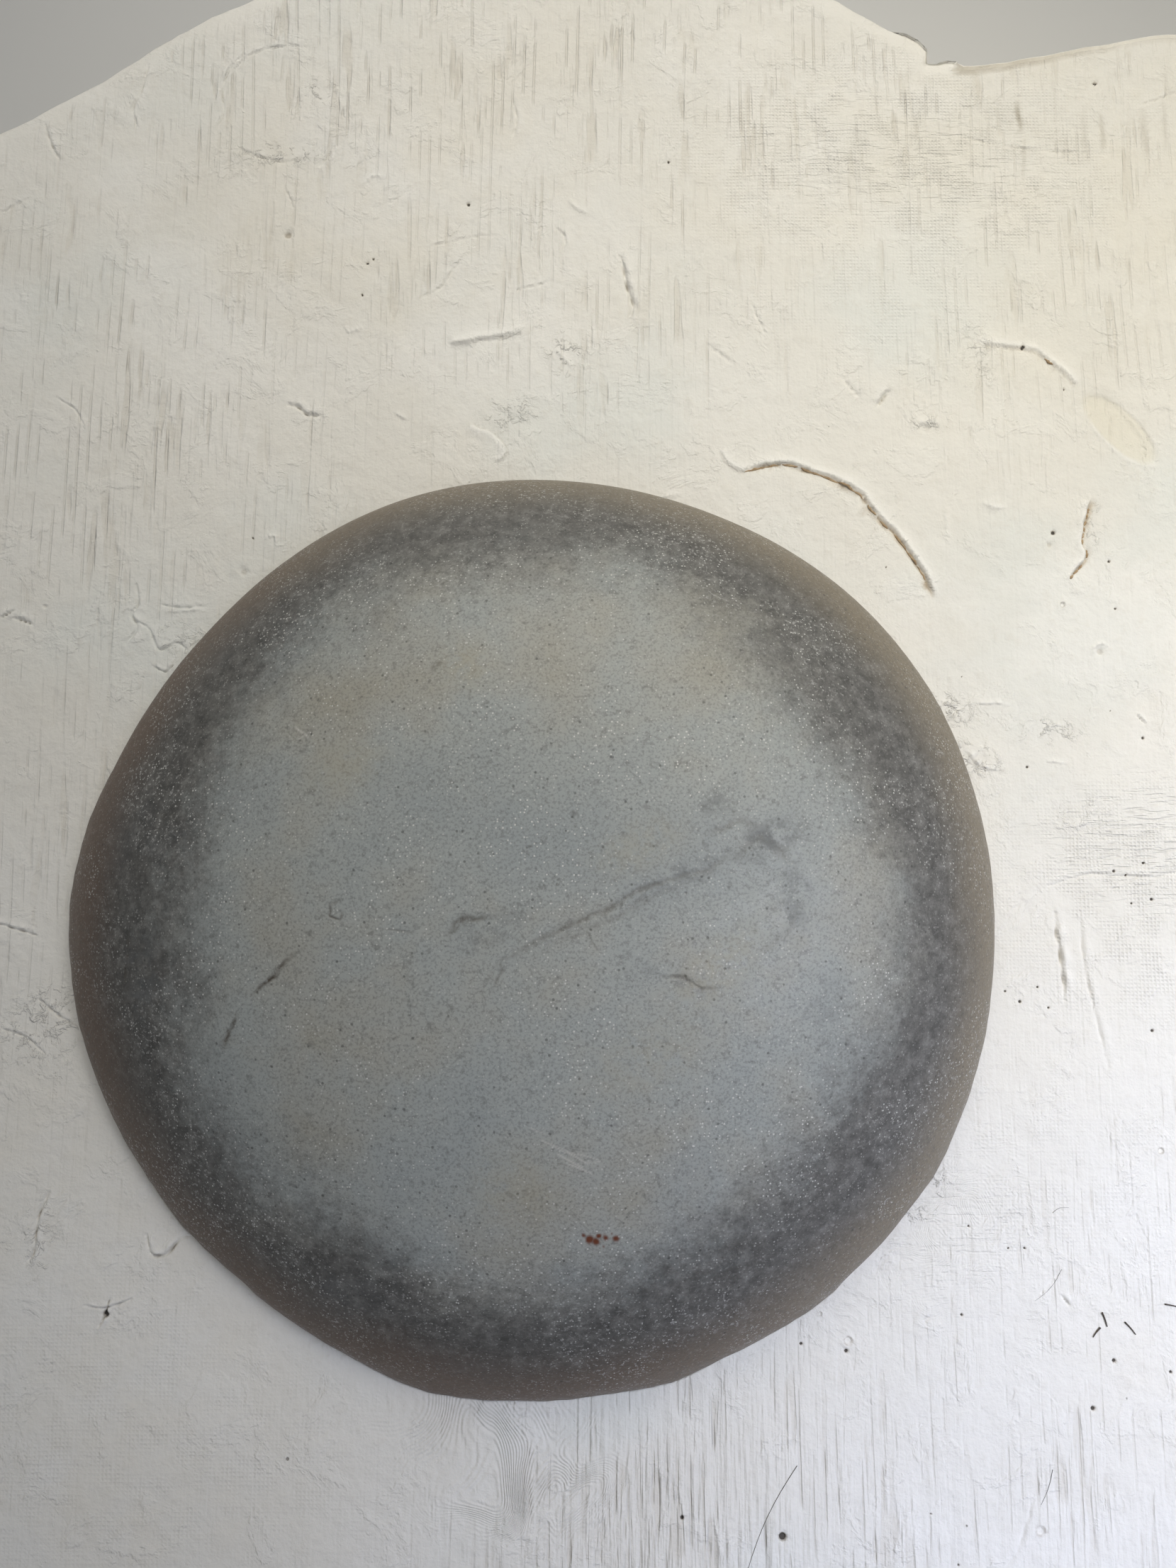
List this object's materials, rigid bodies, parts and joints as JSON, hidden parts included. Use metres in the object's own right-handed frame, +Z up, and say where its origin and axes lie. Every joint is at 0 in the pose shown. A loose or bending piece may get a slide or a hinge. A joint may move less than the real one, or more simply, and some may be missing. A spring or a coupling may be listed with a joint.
{
  "type": "plaster mold",
  "caption": "Free-form plaster mould half with a wavy edge, lying face up, and the smooth rounded stone it was formed on seated in its hollow up to the widest line.",
  "frame": {"origin": "middle of the plaster's plan box, on the flat underside that it stands on", "axes": "+Z up, out of the parting face; +Y along the mould's length, towards its broad plain end; +X to the right seen from above"},
  "size_m": [0.391, 0.4662, 0.1195],
  "materials": {
    "plaster_face": "matte",
    "plaster_backing": "matte",
    "hessian": "matte",
    "clay": "matte",
    "stone": "satin"
  },
  "bodies": {
    "mould": {"face_coat": "plaster_face", "backing_coat": "plaster_backing", "hessian_scrim": "hessian", "clay_residue": "clay"},
    "stone": {"stone_pattern": "stone"}
  },
  "joints": [
    {"name": "stone_lift", "type": "slide", "parent": "mould", "child": "stone", "axis": [0, 0, 1], "range_m": [0, 0.12]}
  ]
}
